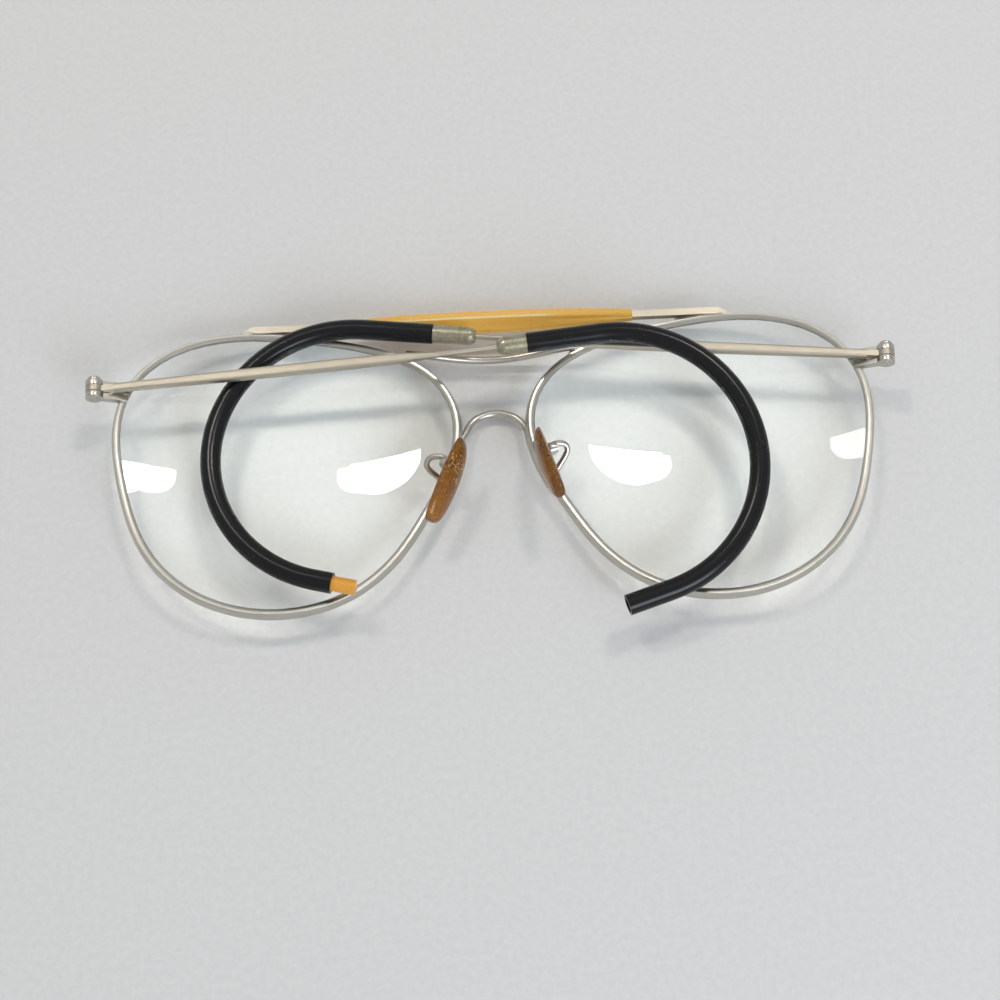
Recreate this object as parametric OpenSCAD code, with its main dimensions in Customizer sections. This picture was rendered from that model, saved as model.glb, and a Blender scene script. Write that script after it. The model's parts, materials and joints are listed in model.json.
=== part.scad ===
// Aviator eyeglasses with cable temples, lying on their lens fronts, temples folded.
// X runs along the brow (the wearer's right is +X), Y towards the brow, Z towards the wearer.

/* [Lenses] */
// Width of one lens, the box size A
lens_w = 58.5; // [54:0.5:62]
// Height of one lens, the box size B
lens_h = 51.3; // [46:0.1:54]
// Distance between the lenses
lens_gap = 13.5; // [12:0.5:18]
// Thickness of the glass
lens_t = 1.8; // [1.5:0.1:2.2]
// Radius of the base curve at mid thickness
base_r = 93; // [80:1:130]
// Turn of each lens back towards the temples, in degrees
wrap = 2; // [0:0.5:4]
// Depth of the bevel on the lens edge
bevel = 0.3; // [0.2:0.05:0.4]
// Gap between the bevel and its groove
lens_clear = 0.06; // [0.04:0.01:0.12]

/* [Drop outline] */
// Lean of the outline, cosine and sine share of the mean radius
drop_1 = [0.006, 0.016]; // [-0.1:0.001:0.1]
// Oval share
drop_2 = [-0.063, -0.009]; // [-0.1:0.001:0.1]
// Drop share
drop_3 = [-0.027, 0.059]; // [-0.1:0.001:0.1]
// Corner share
drop_4 = [-0.010, -0.012]; // [-0.05:0.001:0.05]

/* [Rims] */
// Width of the rim wire, seen from the wearer
rim_w = 1.2; // [1:0.1:1.6]
// Depth of the rim wire, front to back
rim_d = 2; // [1.8:0.1:2.6]
// Width of the cut that the hinge screw closes
split_gap = 0.3; // [0.2:0.05:0.5]

/* [Bridge] */
// Thickness of the bridge wire
bridge_d = 1.4; // [1.1:0.1:1.8]
// Height of the bridge wire at its middle
bridge_y = 20.6; // [19:0.1:24]
// Forward bow of the bridge wire
bridge_bow = 2.4; // [1:0.1:3]
// Thickness of the nose arch wire
arch_d = 1.4; // [1.1:0.1:1.8]
// Height of the nose arch at its crown
arch_y = 10.4; // [9:0.1:13]
// Inset of the nose arch's shoulders from the edges of the lenses
arch_in = 1.15; // [0.5:0.05:2]
// Sideways set of the arch's crown and the pads towards the wearer's right
nose_set = 0.45; // [0:0.05:0.8]

/* [Brow bar] */
// Set of the brow bar behind the rim tops' middle
bar_back = 0.3; // [0:0.1:1.2]
// Depth that the brow bar is let into the rim tops
bar_seat = 0.3; // [0.1:0.05:0.5]
// Length of the brow bar between its points
bar_l = 88.8; // [80:0.1:100]
// Sideways set of the brow bar towards the wearer's left
bar_set = 0.5; // [0:0.1:1]
// Width of the brow bar, seen from the wearer
bar_w = 1.3; // [1:0.1:1.8]
// Thickness of the brow bar, front to back
bar_t = 1.2; // [1:0.1:1.6]
// Length of the bevel at each end
bar_bevel = 2.6; // [1.5:0.1:4]
// Length of the plastic sleeve
sleeve_l = 52; // [40:1:60]
// Width of the sleeve at its middle
sleeve_w = 4.1; // [3:0.1:5]
// Thickness of the sleeve at its middle
sleeve_t = 3.6; // [2.6:0.1:4.2]
// Width of the sleeve's squared ends
sleeve_end = 1.9; // [1.8:0.1:2.6]
// Width of the open seam in front
seam = 0.35; // [0.2:0.05:0.6]

/* [Nose pads] */
// Length of a pad
pad_l = 15.5; // [12:0.5:17]
// Width of a pad
pad_w = 6.4; // [5:0.1:7]
// Thickness of a pad
pad_t = 2.5; // [2:0.1:3]
// Distance of the studs past the edges of the lenses
pad_out = 0.65; // [0.4:0.05:2.2]
// Height of the wearer's left stud
pad_y_left = -2.6; // [-4:0.1:2]
// Height of the wearer's right stud
pad_y_right = -0.5; // [-4:0.1:2]
// Distance of the studs behind the lens crowns
pad_z = 8.6; // [8:0.1:10]
// Distance of the stud above the pad's middle
stud_up = 2.7; // [0:0.1:3]
// Flare of the wearer's left pad, in degrees
flare_left = 28; // [8:0.5:32]
// Flare of the wearer's right pad, in degrees
flare_right = 11.5; // [8:0.5:32]
// Splay of the wearer's left pad, in degrees
splay_left = 19; // [0:1:30]
// Splay of the wearer's right pad, in degrees
splay_right = 4; // [0:1:30]
// Turn of the wearer's left pad on its stud, in degrees
pad_turn_left = 10; // [-12:1:12]
// Turn of the wearer's right pad on its stud, in degrees
pad_turn_right = -22; // [-24:1:12]
// Radius of the stud
stud_r = 0.45; // [0.35:0.05:0.6]
// Running clearance of the stud, on the radius
stud_clear = 0.05; // [0.02:0.01:0.08]
// Thickness of the pad arm wire
arm_wire_d = 0.95; // [0.8:0.05:1.2]

/* [Hinges] */
// Distance of the hinge axes past the edges of the lenses
hinge_out = 3.35; // [2.5:0.05:5]
// Height of the hinge axes above the lens line
hinge_y = 14.3; // [13.5:0.1:15.5]
// Distance of the hinge axes behind the lens crowns
hinge_z = 9.5; // [9.2:0.1:10.5]
// Tilt of the wearer's left hinge, in degrees
tilt_left = 3.1; // [2:0.1:5]
// Tilt of the wearer's right hinge, in degrees
tilt_right = 6.2; // [4:0.1:7]
// Radius of the lugs round the screw
lug_r = 1.5; // [1.3:0.1:1.8]
// Height of each lug above or below the tongue
lug_h = 1.1; // [0.9:0.1:1.4]
// Thickness of the temple's tongue
tongue_t = 1; // [0.8:0.1:1.2]
// Gap between the tongue and each lug
tongue_gap = 0.06; // [0.04:0.01:0.1]
// Radius of the screw's shank
screw_r = 0.6; // [0.5:0.05:0.7]
// Running clearance of the screw, on the radius
screw_clear = 0.04; // [0.02:0.01:0.08]
// Radius of the screw's head
screw_head_r = 1.1; // [0.9:0.05:1.2]
// Height of the screw's head
screw_head_h = 0.6; // [0.4:0.05:0.8]

/* [Temples] */
// Length of the stiff arm, hinge axis to the end of its taper
arm_l = 60; // [54:1:66]
// Width of the arm at its middle
arm_w = 2; // [1.7:0.1:2.3]
// Thickness of the arm at its middle
arm_t = 1.5; // [1.2:0.1:1.7]
// Width of the arm next to the hinge
arm_neck = 1.5; // [1.2:0.1:1.7]
// Thickness of the thin wire
wire_d = 1; // [0.8:0.05:1.2]
// Bend between the left arm and its wire, in degrees
bend_left = 1.8; // [0:0.1:3]
// Bend between the right arm and its wire, in degrees
bend_right = 1.3; // [0:0.1:3]
// Slope of the folded temples away from each other, in degrees
fold_slope = 1.3; // [1.2:0.1:1.6]

/* [Ear curls] */
// Left straight length, hinge axis to the start of the curl
reach_left = 87.9; // [84:0.5:92]
// Right straight length, hinge axis to the start of the curl
reach_right = 91.5; // [88:0.5:96]
// Radius of the curl at the tube's centre line
curl_r = 23.5; // [22:0.2:25]
// Turn of the left curl, in degrees
turn_left = 168; // [150:1:176]
// Turn of the right curl, in degrees
turn_right = 173; // [150:1:176]
// Straight length of tube at the left curl's free end
tip_left = 7.8; // [3:0.1:11]
// Straight length of tube at the right curl's free end
tip_right = 3.2; // [3:0.1:11]
// Outer diameter of the black tube
tube_d = 3.5; // [3:0.1:3.9]
// Wall of the black tube
tube_wall = 0.42; // [0.35:0.01:0.5]
// Length of the amber tip outside the right tube
tip_out = 4; // [2:0.5:6]
// Depth of the amber core inside the left tube's open end
tip_in = 0.8; // [0.3:0.1:2]
// Length of the left ferrule
cap_left = 5.2; // [4:0.1:7]
// Length of the right ferrule
cap_right = 7.6; // [6:0.1:9]
// Length of straight tube before the left curl
lead_left = 12.8; // [8:0.5:16]
// Length of straight tube before the right curl
lead_right = 12.4; // [10:0.5:18]
// Droop of the left curl towards the lens, in degrees
droop_left = 6.2; // [5:0.1:6.5]
// Droop of the right curl towards the lens, in degrees
droop_right = 0.6; // [0:0.1:2]
// Fit of pieces pushed into one another, on the radius
push_fit = 0.03; // [0.01:0.01:0.06]

/* [Rest] */
// Lean of the whole towards the brow as it lies, in degrees
lean = 2.3; // [0:0.1:4]

/* [Hidden] */

silver = [0.78, 0.77, 0.74];
amber = [0.80, 0.50, 0.16];
honey = [0.87, 0.62, 0.30];
black = [0.06, 0.06, 0.06];
clear_glass = [0.80, 0.88, 0.88, 0.35];
dull = [0.52, 0.50, 0.38];

eps = 0.01;
stations = 72;
round_fn = 48;
lens_x = (lens_w + lens_gap) / 2;
hinge_x = lens_x + lens_w / 2 + hinge_out;
pad_x = lens_gap / 2 + pad_out;
arch_half = lens_gap / 2 - arch_in;

// Outline of a lens, as a closed curve with the box size asked for
function drop_raw(a) = 1
    + drop_1[0] * cos(a) + drop_1[1] * sin(a)
    + drop_2[0] * cos(2 * a) + drop_2[1] * sin(2 * a)
    + drop_3[0] * cos(3 * a) + drop_3[1] * sin(3 * a)
    + drop_4[0] * cos(4 * a) + drop_4[1] * sin(4 * a);
raw_x = [for (i = [0:359]) drop_raw(i) * cos(i)];
raw_y = [for (i = [0:359]) drop_raw(i) * sin(i)];
scale_x = lens_w / (max(raw_x) - min(raw_x));
scale_y = lens_h / (max(raw_y) - min(raw_y));
mid_x = (max(raw_x) + min(raw_x)) / 2;
mid_y = (max(raw_y) + min(raw_y)) / 2;
function drop_at(a) = [
    (drop_raw(a) * cos(a) - mid_x) * scale_x,
    (drop_raw(a) * sin(a) - mid_y) * scale_y
];
function unit(v) = v / norm(v);
function drop_tangent(a) = unit(drop_at(a + 0.5) - drop_at(a - 0.5));
function drop_normal(a) = [drop_tangent(a)[1], -drop_tangent(a)[0]];

// A point off the outline: out in the plane, back along the lens's own normal
function sag(p) = base_r - sqrt(base_r * base_r - p[0] * p[0] - p[1] * p[1]);
function lens_normal(p) = unit([-p[0], -p[1], base_r - sag(p)]);
function on_lens(p, back) = [p[0], p[1], sag(p)] + back * lens_normal(p);
function edge_point(a, out, back) = on_lens(drop_at(a) + out * drop_normal(a), back);

// The same point in the front's frame, on the side with the sign given
function to_front(side, p) = [
    side * (lens_x + p[0] * cos(wrap) - p[2] * sin(wrap)),
    p[1],
    p[0] * sin(wrap) + p[2] * cos(wrap)
];

// A closed skin over rings of points, either a loop or a bar with flat ends
function ring_pairs(n, loop) = [for (i = [0:(loop ? n - 1 : n - 2)]) [i, (i + 1) % n]];
module skin(rings, loop = false) {
    n = len(rings);
    m = len(rings[0]);
    sides = [
        for (p = ring_pairs(n, loop)) for (j = [0:m - 1])
        let (k = (j + 1) % m)
        each [
            [p[0] * m + j, p[1] * m + j, p[1] * m + k],
            [p[0] * m + j, p[1] * m + k, p[0] * m + k]
        ]
    ];
    ends = loop ? [] : [
        for (j = [1:m - 2]) each [[0, j, j + 1], [(n - 1) * m, (n - 1) * m + j + 1, (n - 1) * m + j]]
    ];
    polyhedron(points = [for (r = rings) each r], faces = concat(sides, ends), convexity = 8);
}

// Rings of a round wire along a path, carried on without a twist
function path_dir(path, i) = unit(path[min(i + 1, len(path) - 1)] - path[max(i - 1, 0)]);
function carried(path, a, i = 0) =
    let (t = path_dir(path, i), b = unit(a - (a * t) * t))
    i == len(path) - 1 ? [b] : concat([b], carried(path, b, i + 1));
function wire_rings(path, d, sides, start = [0, 0, 1]) =
    let (across = carried(path, start))
    [
        for (i = [0:len(path) - 1])
        let (a = across[i], b = cross(path_dir(path, i), a))
        [for (j = [0:sides - 1]) path[i] + d / 2 * (cos(360 * j / sides) * a + sin(360 * j / sides) * b)]
    ];

// A smooth curve through hand-set points
function smooth_at(p, i, t) =
    let (
        a = p[max(i - 1, 0)],
        b = p[i],
        c = p[i + 1],
        d = p[min(i + 2, len(p) - 1)]
    )
    0.5 * (2 * b + (c - a) * t + (2 * a - 5 * b + 4 * c - d) * t * t + (3 * b - a - 3 * c + d) * t * t * t);
function smooth_path(p, steps) = concat(
    [for (i = [0:len(p) - 2]) for (s = [0:steps - 1]) smooth_at(p, i, s / steps)],
    [p[len(p) - 1]]
);

// Offsets of the rim wire from the lens edge, and the place of the brow bar
lip = bevel - 0.05;
rim_out = rim_w - lip;
bar_drop = 0.35;
rim_tops = [for (a = [50:1:120]) edge_point(a, rim_out, 0)];
rim_top = max([for (p = rim_tops) p[1]]);
top_point = [for (p = rim_tops) if (p[1] == rim_top) p][0];
bar_y = rim_top + bar_w / 2 - bar_seat;
bar_z = to_front(1, top_point)[2] + bar_back;

// How the glasses lie: on the lens fronts, leaning to the brow, centred on the outline
front_r = base_r + lens_t / 2;
lift = front_r - base_r * cos(wrap) * cos(lean);
low_y = curl_low(-1);
high_y = bar_y + sleeve_w / 2;
shift_y = -(high_y * cos(lean) + bar_z * sin(lean) + low_y) / 2;
module lay() {
    translate([0, shift_y, lift]) rotate([-lean, 0, 0]) children();
}

// Rims, with the place and length of the saw cut at the temple side
saw_y = -6;
saw_l = 9;
rim_corner = 0.16;
rim_edge = 0.91;
rim_side = rim_d * 0.31;
rim_section = [
    [-lip, -rim_side], [-lip, -rim_d * 0.165], [lens_clear, 0],
    [-lip, rim_d * 0.165], [-lip, rim_side],
    [-lip + rim_corner, rim_edge * rim_d / 2], [-lip + rim_w / 2, rim_d / 2],
    [rim_out - rim_corner, rim_edge * rim_d / 2], [rim_out, rim_side],
    [rim_out, -rim_side], [rim_out - rim_corner, -rim_edge * rim_d / 2],
    [-lip + rim_w / 2, -rim_d / 2], [-lip + rim_corner, -rim_edge * rim_d / 2]
];
function rim_rings(side, section, from, to) = [
    for (i = [from:to]) [
        for (s = (side > 0 ? section : [for (k = [len(section) - 1:-1:0]) section[k]]))
        to_front(side, edge_point(360 * i / stations, s[0], s[1]))
    ]
];
module rim(side) {
    color(silver) lay() difference() {
        skin(rim_rings(side, rim_section, 0, stations - 1), true);
        hinge_frame(side) translate([0, -split_gap / 2, saw_y]) cube([saw_l, split_gap, saw_l]);
    }
}
module rim_left() { rim(-1); }
module rim_right() { rim(1); }

// The rim's own shape, with its lens side filled, for cutting the pieces soldered to it
cut_in = 0.8;
cut_room = 1.03;
bar_stations = [9, 24];
lug_stations = [2, 10];
rim_filled = [
    for (i = [0:12]) if (i != 1 && i != 2 && i != 3)
    let (s = rim_section[i] * cut_room)
    [s[0] < rim_w / 2 - lip ? s[0] - cut_in : s[0], s[1]]
];
module rim_cutter(side, span) {
    skin(rim_rings(side, rim_filled, span[0], span[1]));
}

// Lenses, each a curved plate with a bevelled edge
lens_rings = [0.15, 0.32, 0.55, 0.80, 1];
bevel_foot = rim_d * 0.13;
lens_profile = concat(
    [for (k = lens_rings) [k, lens_t / 2]],
    [[1, bevel_foot], [2, 0], [1, -bevel_foot]],
    [for (i = [len(lens_rings) - 1:-1:0]) [lens_rings[i], -lens_t / 2]]
);
function lens_point(a, k) = k[0] == 2
    ? edge_point(a, 0, 0)
    : on_lens(k[0] * (drop_at(a) - bevel * drop_normal(a)), k[1]);
module lens(side) {
    m = stations;
    order = side > 0 ? [0:m - 1] : [m - 1:-1:0];
    points = concat(
        [to_front(side, [0, 0, lens_t / 2])],
        [for (k = lens_profile) for (i = order) to_front(side, lens_point(360 * i / m, k))],
        [to_front(side, [0, 0, -lens_t / 2])]
    );
    last = len(points) - 1;
    rows = len(lens_profile);
    faces = concat(
        [for (j = [0:m - 1]) [0, 1 + (j + 1) % m, 1 + j]],
        [
            for (r = [0:rows - 2]) for (j = [0:m - 1])
            let (k = (j + 1) % m, a = 1 + r * m, b = 1 + (r + 1) * m)
            each [[a + j, a + k, b + k], [a + j, b + k, b + j]]
        ],
        [for (j = [0:m - 1]) [last, 1 + (rows - 1) * m + j, 1 + (rows - 1) * m + (j + 1) % m]]
    );
    color(clear_glass) lay() polyhedron(points = points, faces = faces, convexity = 4);
}
module lens_left() { lens(-1); }
module lens_right() { lens(1); }

// Bridge wire, bowed forward between the upper nasal corners of the rims
bridge_sides = 10;
bridge_end_angle = 131;
bridge_sink = 0.05;
bridge_end = to_front(1, edge_point(bridge_end_angle, rim_out + bridge_d / 2 - bridge_sink, 0));
bridge_path = [
    for (i = [-12:12])
    let (t = i / 12)
    [
        bridge_end[0] * t,
        bridge_y + (bridge_end[1] - bridge_y) * t * t,
        bridge_end[2] - bridge_bow * (1 - t * t) * (1 - t * t)
    ]
];
module bridge_wire() {
    color(silver) lay() skin(wire_rings(bridge_path, bridge_d, bridge_sides));
}

// Nose arch, an upturned U whose legs run down in front of the nasal rims
arch_sides = 10;
arch_gap = 0.03;
function arch_leg(a) = to_front(1, edge_point(a, rim_out - rim_w / 2 - 0.25, -rim_d / 2 - arch_d / 2 - arch_gap));
arch_z = arch_leg(172)[2];
function mirror_x(p) = [-p[0], p[1], p[2]];
arch_legs = [arch_leg(193), arch_leg(186), arch_leg(179), arch_leg(172)];
arch_crown = [
    [arch_half - 0.15, arch_y - 4, arch_z - 0.35],
    [arch_half - 1.1, arch_y - 2.1, arch_z - 0.75],
    [arch_half - 2.8, arch_y - 0.7, arch_z - 1.0]
];
arch_points = concat(
    arch_legs,
    [for (p = arch_crown) p + [nose_set, 0, 0]],
    [[nose_set, arch_y, arch_z - 1.1]],
    [for (i = [2:-1:0]) mirror_x(arch_crown[i]) + [nose_set, 0, 0]],
    [for (i = [3:-1:0]) mirror_x(arch_legs[i])]
);
module nose_arch() {
    color(silver) lay() skin(wire_rings(smooth_path(arch_points, 3), arch_d, arch_sides));
}

// Brow bar, a flat strip with its ends bevelled down to the rim tops, which it is let into
module brow_bar() {
    color(silver) lay() difference() {
        translate([-bar_set, bar_y, bar_z - bar_t / 2]) linear_extrude(bar_t) polygon([
            [-bar_l / 2, -bar_w / 2 - bar_drop], [-bar_l / 2 + bar_bevel, bar_w / 2],
            [bar_l / 2 - bar_bevel, bar_w / 2], [bar_l / 2, -bar_w / 2 - bar_drop],
            [bar_l / 2 - bar_bevel, -bar_w / 2], [-bar_l / 2 + bar_bevel, -bar_w / 2]
        ]);
        for (side = [-1, 1]) rim_cutter(side, bar_stations);
    }
}

// Sleeve, two broad facets and a narrow ridge behind, swelling from squared ends
sleeve_steps = 16;
function sleeve_shape(k) = [
    [0.1, 1], [-0.1, 1], [-0.97, 0.7 - 0.42 * k], [-1, -0.35], [-0.65, -1],
    [0.65, -1], [1, -0.35], [0.97, 0.7 - 0.42 * k]
];
function swell(t) = pow(1 - t * t, 0.9);
module brow_sleeve() {
    rings = [
        for (i = [-sleeve_steps:2:sleeve_steps])
        let (
            t = i / sleeve_steps,
            a = (sleeve_end + (sleeve_w - sleeve_end) * swell(t)) / 2,
            b = (sleeve_end + (sleeve_t - sleeve_end) * swell(t)) / 2
        )
        [for (s = sleeve_shape(swell(t))) [t * sleeve_l / 2, s[0] * a, s[1] * b]]
    ];
    color(honey) lay() translate([-bar_set / 2, bar_y, bar_z]) difference() {
        skin(rings);
        cube([sleeve_l + 2, bar_w + 2 * push_fit, bar_t + 2 * push_fit], center = true);
        translate([0, 0, -sleeve_t / 2]) cube([sleeve_l + 2, seam, sleeve_t], center = true);
    }
}

// Hinge frames: x away from the lens, y along the screw, z to the wearer
function tilt_of(side) = side < 0 ? tilt_left : tilt_right;
module hinge_frame(side) {
    if (side > 0)
        translate([hinge_x, hinge_y, hinge_z]) rotate([0, 0, -tilt_right]) translate([-hinge_reach, 0, 0]) children();
    else
        mirror([1, 0, 0]) translate([hinge_x, hinge_y, hinge_z]) rotate([0, 0, -tilt_left])
            translate([-hinge_reach, 0, 0]) children();
}
hinge_reach = 6;

// Lugs, soldered to the rim above and below its cut, running out and back to the screw
lug_foot = [0.9, -2.6];
lug_half = 0.7;
slot = tongue_t / 2 + tongue_gap;
lug_along = unit([hinge_reach, 0] - lug_foot);
lug_across = [-lug_along[1], lug_along[0]];
module lug_profile() {
    translate([hinge_reach, 0]) circle(r = lug_r, $fn = round_fn);
    polygon([
        lug_foot + lug_half * lug_across, lug_foot - lug_half * lug_across,
        [hinge_reach, 0] - lug_half * lug_across, [hinge_reach, 0] + lug_half * lug_across
    ]);
}
// Reach of the tongue's pocket into the lugs
pocket_r = 3.3;
module lug(side, up) {
    color(silver) lay() difference() {
        hinge_frame(side) difference() {
            rotate([90, 0, 0]) translate([0, 0, up > 0 ? -slot - lug_h : split_gap / 2])
                linear_extrude(slot + lug_h - split_gap / 2) lug_profile();
            translate([hinge_reach, 0, 0]) rotate([90, 0, 0])
                cylinder(r = pocket_r, h = 2 * slot, center = true, $fn = round_fn);
            translate([hinge_reach, 0, 0]) rotate([90, 0, 0])
                cylinder(r = screw_r + screw_clear, h = 4 * (slot + lug_h), center = true, $fn = round_fn);
        }
        rim_cutter(side, lug_stations);
    }
}
module lug_upper_left() { lug(-1, 1); }
module lug_lower_left() { lug(-1, -1); }
module lug_upper_right() { lug(1, 1); }
module lug_lower_right() { lug(1, -1); }

// Screws, which hold the temple and close the rim
driver_slot = 0.28;
module hinge_screw(side) {
    color(silver) lay() hinge_frame(side) translate([hinge_reach, 0, 0]) rotate([-90, 0, 0]) difference() {
        union() {
            translate([0, 0, -slot - lug_h]) cylinder(r = screw_r, h = 2 * slot + 2 * lug_h + eps, $fn = round_fn);
            translate([0, 0, slot + lug_h]) cylinder(r = screw_head_r, h = screw_head_h, $fn = round_fn);
        }
        translate([0, 0, slot + lug_h + screw_head_h]) cube([3 * screw_head_r, driver_slot, 2 * driver_slot], center = true);
    }
}
module hinge_screw_left() { hinge_screw(-1); }
module hinge_screw_right() { hinge_screw(1); }

// Pad frames: x along the face's normal to the nose, y up the pad, z to the wearer
function pad_y(side) = side < 0 ? pad_y_left : pad_y_right;
function flare(side) = side < 0 ? flare_left : flare_right;
function splay(side) = side < 0 ? splay_left : splay_right;
module pad_side(side) {
    if (side > 0) translate([2 * nose_set, 0, 0]) mirror([1, 0, 0]) children();
    else children();
}
module pad_place(side) {
    translate([nose_set - pad_x, pad_y(side), pad_z]) rotate([0, 0, -flare(side)])
        rotate([0, -splay(side), 0]) children();
}
module pad_frame(side) {
    pad_side(side) pad_place(side) children();
}
eye_t = 0.8;
eye_r = 1;
plate_t = 0.4;
plate_l = 7.6;
plate_w = 1.8;
plate_down = 1.2;
head_r = 0.8;
head_h = 0.4;
stud_back = 0.15;
function pad_turn(side) = side < 0 ? pad_turn_left : pad_turn_right;

// Nose pads, rounded drops of plastic moulded on a metal plate, fuller below and flatter behind
pad_rows = 16;
pad_sides = 14;
pad_end = 88;
pad_flat = 0.9;
module nose_pad(side) {
    rings = [
        for (i = [0:pad_rows])
        let (
            a = pad_end * (2 * i / pad_rows - 1),
            w = pad_w / 2 * pow(cos(a), a < 0 ? 0.5 : 0.8),
            t = pad_t / 2 * pow(cos(a), a < 0 ? 0.3 : 0.85),
            y = -stud_up + pad_l / 2 * sin(a) / sin(pad_end)
        )
        [
            for (j = [0:pad_sides - 1])
            let (b = 360 * j / pad_sides)
            [t * cos(b) - pad_flat * (pad_t / 2 - t), y, -w * sin(b)]
        ]
    ];
    color(amber) lay() pad_frame(side) rotate([pad_turn(side), 0, 0]) difference() {
        skin(rings);
        translate([0, -plate_down, 0])
            cube([plate_t + 2 * push_fit, plate_l + 2 * push_fit, plate_w + 2 * push_fit], center = true);
        translate([-pad_t, 0, 0]) rotate([0, 90, 0]) cylinder(r = stud_r + push_fit, h = pad_t, $fn = round_fn);
    }
}
module nose_pad_left() { nose_pad(-1); }
module nose_pad_right() { nose_pad(1); }

// Pad studs, a plate inside the pad and a riveted stud through the arm's eye
module pad_stud(side) {
    stud_l = pad_t / 2 + stud_back + eye_t + 2 * tongue_gap;
    color(silver) lay() pad_frame(side) rotate([pad_turn(side), 0, 0]) {
        translate([0, -plate_down, 0]) cube([plate_t, plate_l, plate_w], center = true);
        rotate([0, -90, 0]) cylinder(r = stud_r, h = stud_l + head_h / 2, $fn = round_fn);
        translate([-stud_l, 0, 0]) rotate([0, -90, 0]) cylinder(r = head_r, h = head_h, $fn = round_fn);
    }
}
module pad_stud_left() { pad_stud(-1); }
module pad_stud_right() { pad_stud(1); }

// Pad arms, gooseneck wires from the back of the rim round to an eye at the pad
eye_mid = pad_t / 2 + stud_back + tongue_gap + eye_t / 2;
function pad_to_front(side, p) =
    let (x = p[0] * cos(splay(side)) - p[2] * sin(splay(side)))
    [
        nose_set - pad_x + x * cos(flare(side)) + p[1] * sin(flare(side)),
        pad_y(side) - x * sin(flare(side)) + p[1] * cos(flare(side)),
        pad_z + p[0] * sin(splay(side)) + p[2] * cos(splay(side))
    ];
arm_wire_sides = 8;
foot_left = 0.1;
foot_right = -0.2;
eye_turn = -35;
foot_angle = 190.5;
arm_gap = 0.15;
function foot_in(side) = side < 0 ? foot_left : foot_right;
function arm_foot(side) =
    mirror_x(to_front(1, edge_point(foot_angle, -lip + foot_in(side), rim_d / 2 + arm_wire_d / 2 + arm_gap)))
    + [side > 0 ? 2 * nose_set : 0, 0, 0];
function on_eye(r) = [-eye_mid, r * cos(eye_turn), r * sin(eye_turn)];
function arm_points(side) =
    let (
        foot = arm_foot(side),
        rise = [0, (pad_y(side) - pad_y_left) / 2, 0],
        wide = [side < 0 ? 0 : 0.4, 0, 0]
    )
    [
        foot + [0.3, -1.5, 0],
        foot,
        foot + [-1.3, 0.9, 0.95] + rise * 0.75,
        foot + [-1.95, 1.75, 1.75] + rise * 1.2 - wide * 0.5,
        foot + [-1.35, 2.75, 2.4] + rise * 1.05 - wide * 1.6,
        foot + [0, 2.85, 2.85] + rise * 1.2 - wide * 3,
        pad_to_front(side, on_eye(eye_r + 0.4) - [0.75, 0, 0]),
        pad_to_front(side, on_eye(eye_r * 0.72))
    ];
module pad_arm(side) {
    color(silver) lay() pad_side(side) difference() {
        union() {
            skin(wire_rings(smooth_path(arm_points(side), 3), arm_wire_d, arm_wire_sides));
            pad_place(side) translate([-eye_mid, 0, 0]) rotate([0, 90, 0])
                cylinder(r = eye_r, h = eye_t, center = true, $fn = round_fn);
        }
        pad_place(side) translate([-eye_mid, 0, 0]) rotate([0, 90, 0])
            cylinder(r = stud_r + stud_clear, h = 3 * eye_t, center = true, $fn = round_fn);
        pad_place(side) translate([-eye_mid + eye_t / 2 + eps, -eye_r, -1.5 * eye_r]) cube([eye_t, 3 * eye_r, 3 * eye_r]);
        pad_place(side) translate([-eye_mid - eye_t / 2 - eps, 0, 0]) rotate([0, -90, 0])
            cylinder(r = head_r + tongue_gap, h = 2 * head_h, $fn = round_fn);
    }
}
module pad_arm_left() { pad_arm(-1); }
module pad_arm_right() { pad_arm(1); }

// Temple frames: x along the folded temple, y up the screw, z to the wearer
module temple_frame(side) {
    if (side > 0)
        translate([hinge_x, hinge_y, hinge_z]) rotate([0, 0, -tilt_right]) mirror([1, 0, 0])
            rotate([0, fold_slope, 0]) children();
    else
        translate([-hinge_x, hinge_y, hinge_z]) rotate([0, 0, tilt_left]) rotate([0, -fold_slope, 0]) children();
}
module wire_frame(side) {
    translate([arm_l, 0, 0]) rotate([0, 0, side < 0 ? bend_left : bend_right]) children();
}
function reach(side) = (side < 0 ? reach_left : reach_right) - arm_l;
function lead(side) = side < 0 ? lead_left : lead_right;
function cap(side) = side < 0 ? cap_left : cap_right;
function tip(side) = side < 0 ? tip_left : tip_right;

// Lowest point of a curl in Y, for centring the outline
function turn_z(p, a) = [p[0] * cos(a) - p[1] * sin(a), p[0] * sin(a) + p[1] * cos(a), p[2]];
function curl_point(side, q) =
    let (
        droop = side < 0 ? droop_left : droop_right,
        p = [q[0], q[1] * cos(droop), q[1] * sin(droop)],
        w = turn_z([reach(side) + p[0], p[1], p[2]], side < 0 ? bend_left : bend_right),
        s = side < 0 ? 1 : -1,
        v = [arm_l + w[0], w[1], w[2]],
        u = [v[0] * cos(fold_slope) - s * v[2] * sin(fold_slope), v[1], s * v[0] * sin(fold_slope) + v[2] * cos(fold_slope)],
        f = turn_z(u, tilt_of(side)),
        g = [side * (hinge_x - f[0]), hinge_y + f[1], hinge_z + f[2]]
    )
    [g[0], g[1] * cos(lean) + g[2] * sin(lean), -g[1] * sin(lean) + g[2] * cos(lean)];
function curl_turn(side) = side < 0 ? turn_left : turn_right;
function curl_at(side, past) =
    let (a = curl_turn(side))
    [curl_r * sin(a) + past * cos(a), -curl_r * (1 - cos(a)) - past * sin(a), 0];
function curl_low(side) = curl_point(side, curl_at(side, tip(side)))[1] - tube_d / 2;

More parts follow.
